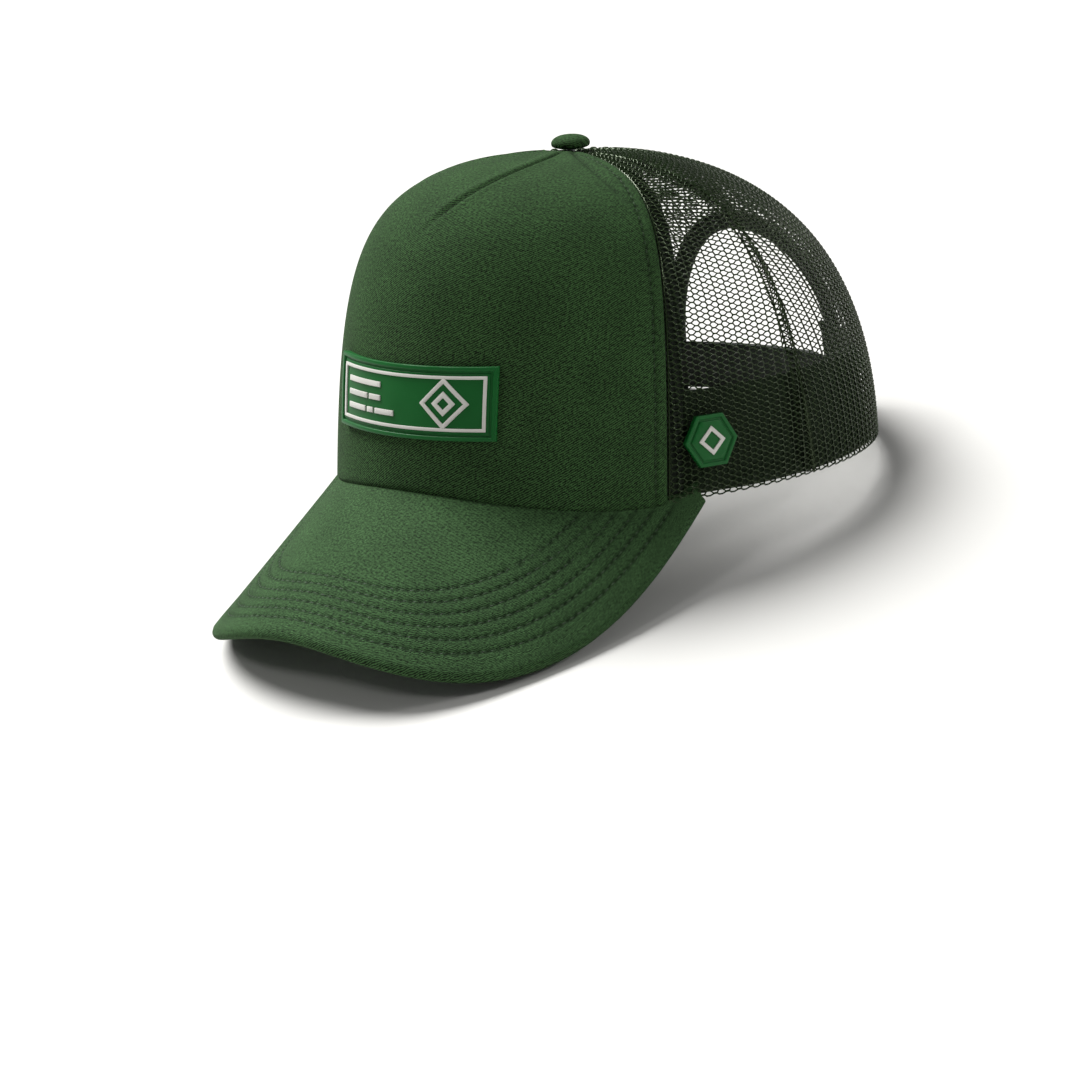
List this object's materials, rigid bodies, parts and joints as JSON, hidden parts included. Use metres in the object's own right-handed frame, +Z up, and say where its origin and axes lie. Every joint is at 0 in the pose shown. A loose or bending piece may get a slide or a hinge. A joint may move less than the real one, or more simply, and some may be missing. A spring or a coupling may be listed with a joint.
{
  "type": "trucker mesh cap",
  "caption": "Trucker cap with a foam front panel, mesh side and rear panels, a curved stitched brim, an arched rear opening and a plastic snap strap.",
  "frame": {"origin": "centre of the cap's footprint, on the surface that it stands on", "axes": "+Z up, the brim points to -Y, +X is the wearer's left"},
  "size_m": [0.1732, 0.2622, 0.1271],
  "materials": {
    "foam_face_fabric": "deep green fine knit face bonded to foam",
    "foam": "open-cell foam backing, dark green",
    "mesh_net": "knitted polyester mesh, dark green, slightly shiny strands",
    "seam_tape": "dark green woven tape",
    "brim_fabric": "deep green fine knit over board, stitched rows",
    "brim_board": "moulded polyethylene board, near black",
    "sweatband_cotton": "dark green cotton twill sweatband",
    "strap_plastic": "moulded dark green polyethylene, fine matt",
    "button_fabric": "deep green knit over a metal shell",
    "button_metal": "pressed steel",
    "patch_green": "moulded soft PVC, green, satin",
    "patch_white": "moulded soft PVC, warm white, satin"
  },
  "bodies": {
    "crown": {"front_fabric": "foam_face_fabric", "front_foam": "foam", "side_mesh_left": "mesh_net", "rear_mesh_left": "mesh_net", "side_mesh_right": "mesh_net", "rear_mesh_right": "mesh_net", "front_seam_tape_left": "seam_tape", "side_seam_fold_left": "mesh_net", "front_seam_tape_right": "seam_tape", "side_seam_fold_right": "mesh_net", "back_seam_fold": "mesh_net", "arch_binding": "seam_tape", "sweatband": "sweatband_cotton", "brim_top_cover": "brim_fabric", "brim_board": "brim_board", "brim_under_cover": "brim_fabric", "strap_tab_with_holes": "strap_plastic", "strap_tab_with_studs": "strap_plastic", "button_cover": "button_fabric", "button_shell": "button_metal", "button_rivet": "button_metal", "patch_base": "patch_green", "patch_lines": "patch_white", "badge_base": "patch_green", "badge_mark": "patch_white"},
    "outer_strap": {"strap_with_holes": "strap_plastic"},
    "inner_strap": {"strap_with_studs": "strap_plastic"}
  },
  "joints": [
    {"name": "outer_strap_bend", "type": "hinge", "parent": "crown", "child": "outer_strap", "pos_m": [-0.03084, 0.12345, 0.01005], "axis": [0, 0.1944, 0.9809], "range_deg": [0, 60], "stiffness_Nm_per_rad": 0.004},
    {"name": "inner_strap_bend", "type": "hinge", "parent": "crown", "child": "inner_strap", "pos_m": [0.03082, 0.12188, 0.01036], "axis": [0, 0.1944, 0.9809], "range_deg": [0, 25], "stiffness_Nm_per_rad": 0.004}
  ]
}
